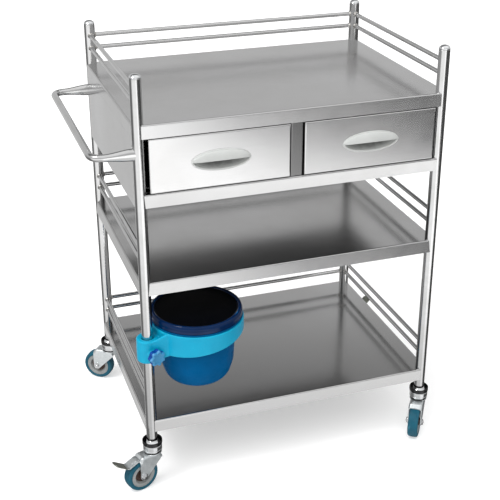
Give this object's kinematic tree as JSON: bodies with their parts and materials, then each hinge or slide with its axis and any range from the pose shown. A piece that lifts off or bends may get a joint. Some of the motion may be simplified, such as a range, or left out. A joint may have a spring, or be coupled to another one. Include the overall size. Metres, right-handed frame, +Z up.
{
  "type": "instrument cart",
  "caption": "Stainless steel three-shelf instrument cart with guard rails, two drawers, a push handle, swivel casters and a lidded bucket held in a ring clamp.",
  "frame": {"origin": "on the floor, at the middle of the whole cart's footprint, push handle, bucket and casters included", "axes": "+Z up; the drawer fronts face -Y; the push handle is on the -X end"},
  "size_m": [0.8866, 0.5966, 0.9838],
  "materials": {
    "stainless_sheet": "brushed stainless sheet, satin with soft reflections",
    "stainless_tube": "polished stainless tube",
    "polished_steel": "polished",
    "caster_zinc": "bright zinc plate",
    "tyre_rubber": "teal blue rubber, satin",
    "rim_plastic": "grey moulded nylon",
    "pull_plastic": "pale grey moulded plastic",
    "ring_plastic": "cyan moulded plastic",
    "bucket_plastic": "deep blue moulded plastic",
    "knob_plastic": "mid blue moulded plastic",
    "lid_plastic": "near-black moulded plastic"
  },
  "bodies": {
    "cart_frame": {"post_front_left": "stainless_tube", "post_front_right": "stainless_tube", "post_back_left": "stainless_tube", "post_back_right": "stainless_tube", "post_cap_front_left": "polished_steel", "post_cap_front_right": "polished_steel", "post_cap_back_left": "polished_steel", "post_cap_back_right": "polished_steel", "top_shelf": "stainless_sheet", "middle_shelf": "stainless_sheet", "bottom_shelf": "stainless_sheet", "rail_top_upper_left": "stainless_tube", "rail_top_upper_right": "stainless_tube", "rail_top_upper_back": "stainless_tube", "rail_top_lower_left": "stainless_tube", "rail_top_lower_right": "stainless_tube", "rail_top_lower_back": "stainless_tube", "rail_middle_upper_left": "stainless_tube", "rail_middle_upper_right": "stainless_tube", "rail_middle_upper_back": "stainless_tube", "rail_middle_lower_left": "stainless_tube", "rail_middle_lower_right": "stainless_tube", "rail_middle_lower_back": "stainless_tube", "rail_bottom_upper_left": "stainless_tube", "rail_bottom_upper_right": "stainless_tube", "rail_bottom_upper_back": "stainless_tube", "rail_bottom_lower_left": "stainless_tube", "rail_bottom_lower_right": "stainless_tube", "rail_bottom_lower_back": "stainless_tube", "drawer_bay_floor": "stainless_sheet", "drawer_bay_shell": "stainless_sheet", "drawer_divider": "stainless_sheet", "push_handle": "stainless_tube", "caster_stem_front_left": "caster_zinc", "caster_stem_front_right": "caster_zinc", "caster_stem_back_left": "caster_zinc", "caster_stem_back_right": "caster_zinc"},
    "left_drawer": {"drawer_left": "stainless_sheet", "drawer_pull_left": "pull_plastic"},
    "right_drawer": {"drawer_right": "stainless_sheet", "drawer_pull_right": "pull_plastic"},
    "fork_front_left": {"caster_fork_front_left": "caster_zinc"},
    "wheel_front_left": {"caster_tyre_front_left": "tyre_rubber", "caster_rim_front_left": "rim_plastic"},
    "pedal_front_left": {"brake_pedal_front_left": "caster_zinc"},
    "fork_front_right": {"caster_fork_front_right": "caster_zinc"},
    "wheel_front_right": {"caster_tyre_front_right": "tyre_rubber", "caster_rim_front_right": "rim_plastic"},
    "fork_back_left": {"caster_fork_back_left": "caster_zinc"},
    "wheel_back_left": {"caster_tyre_back_left": "tyre_rubber", "caster_rim_back_left": "rim_plastic"},
    "fork_back_right": {"caster_fork_back_right": "caster_zinc"},
    "wheel_back_right": {"caster_tyre_back_right": "tyre_rubber", "caster_rim_back_right": "rim_plastic"},
    "pedal_back_right": {"brake_pedal_back_right": "caster_zinc"},
    "bucket_carrier": {"bucket_ring": "ring_plastic"},
    "knob": {"clamp_knob": "knob_plastic"},
    "bucket": {"waste_bucket": "bucket_plastic"},
    "lid": {"bucket_lid": "lid_plastic"}
  },
  "joints": [
    {"name": "drawer_left_slide", "type": "slide", "parent": "cart_frame", "child": "left_drawer", "axis": [0, -1, 0], "range_m": [0, 0.3]},
    {"name": "drawer_right_slide", "type": "slide", "parent": "cart_frame", "child": "right_drawer", "axis": [0, -1, 0], "range_m": [0, 0.3]},
    {"name": "swivel_front_left", "type": "hinge", "parent": "cart_frame", "child": "fork_front_left", "pos_m": [-0.33888, -0.22855, 0.08951], "axis": [0, 0, 1], "continuous": true},
    {"name": "roll_front_left", "type": "hinge", "parent": "fork_front_left", "child": "wheel_front_left", "pos_m": [-0.37121, -0.23906, 0.03951], "axis": [0.309, -0.9511, 0], "continuous": true},
    {"name": "brake_front_left", "type": "hinge", "parent": "fork_front_left", "child": "pedal_front_left", "pos_m": [-0.37407, -0.23998, 0.08281], "axis": [0.309, -0.9511, 0], "range_deg": [0, 8]},
    {"name": "swivel_front_right", "type": "hinge", "parent": "cart_frame", "child": "fork_front_right", "pos_m": [0.34112, -0.22855, 0.08951], "axis": [0, 0, 1], "continuous": true},
    {"name": "roll_front_right", "type": "hinge", "parent": "fork_front_right", "child": "wheel_front_right", "pos_m": [0.32114, -0.25606, 0.03951], "axis": [0.809, -0.5878, 0], "continuous": true},
    {"name": "swivel_back_left", "type": "hinge", "parent": "cart_frame", "child": "fork_back_left", "pos_m": [-0.33888, 0.24645, 0.08951], "axis": [0, 0, 1], "continuous": true},
    {"name": "roll_back_left", "type": "hinge", "parent": "fork_back_left", "child": "wheel_back_left", "pos_m": [-0.36638, 0.26644, 0.03951], "axis": [-0.5878, -0.809, 0], "continuous": true},
    {"name": "swivel_back_right", "type": "hinge", "parent": "cart_frame", "child": "fork_back_right", "pos_m": [0.34112, 0.24645, 0.08951], "axis": [0, 0, 1], "continuous": true},
    {"name": "roll_back_right", "type": "hinge", "parent": "fork_back_right", "child": "wheel_back_right", "pos_m": [0.37307, 0.25808, 0.03951], "axis": [-0.342, 0.9397, 0], "continuous": true},
    {"name": "brake_back_right", "type": "hinge", "parent": "fork_back_right", "child": "pedal_back_right", "pos_m": [0.37589, 0.25911, 0.08281], "axis": [-0.342, 0.9397, 0], "range_deg": [0, 8]},
    {"name": "bucket_swing", "type": "hinge", "parent": "cart_frame", "child": "bucket_carrier", "pos_m": [-0.33888, -0.22855, 0.35951], "axis": [0, 0, 1], "range_deg": [-90, 40]},
    {"name": "knob_turn", "type": "hinge", "parent": "bucket_carrier", "child": "knob", "pos_m": [-0.33011, -0.25724, 0.35551], "axis": [0.2924, -0.9563, 0], "continuous": true},
    {"name": "bucket_lift", "type": "slide", "parent": "bucket_carrier", "child": "bucket", "axis": [0, 0, 1], "range_m": [0, 0.03]},
    {"name": "lid_lift", "type": "slide", "parent": "bucket", "child": "lid", "axis": [0, 0, 1], "range_m": [0, 0.03]}
  ]
}
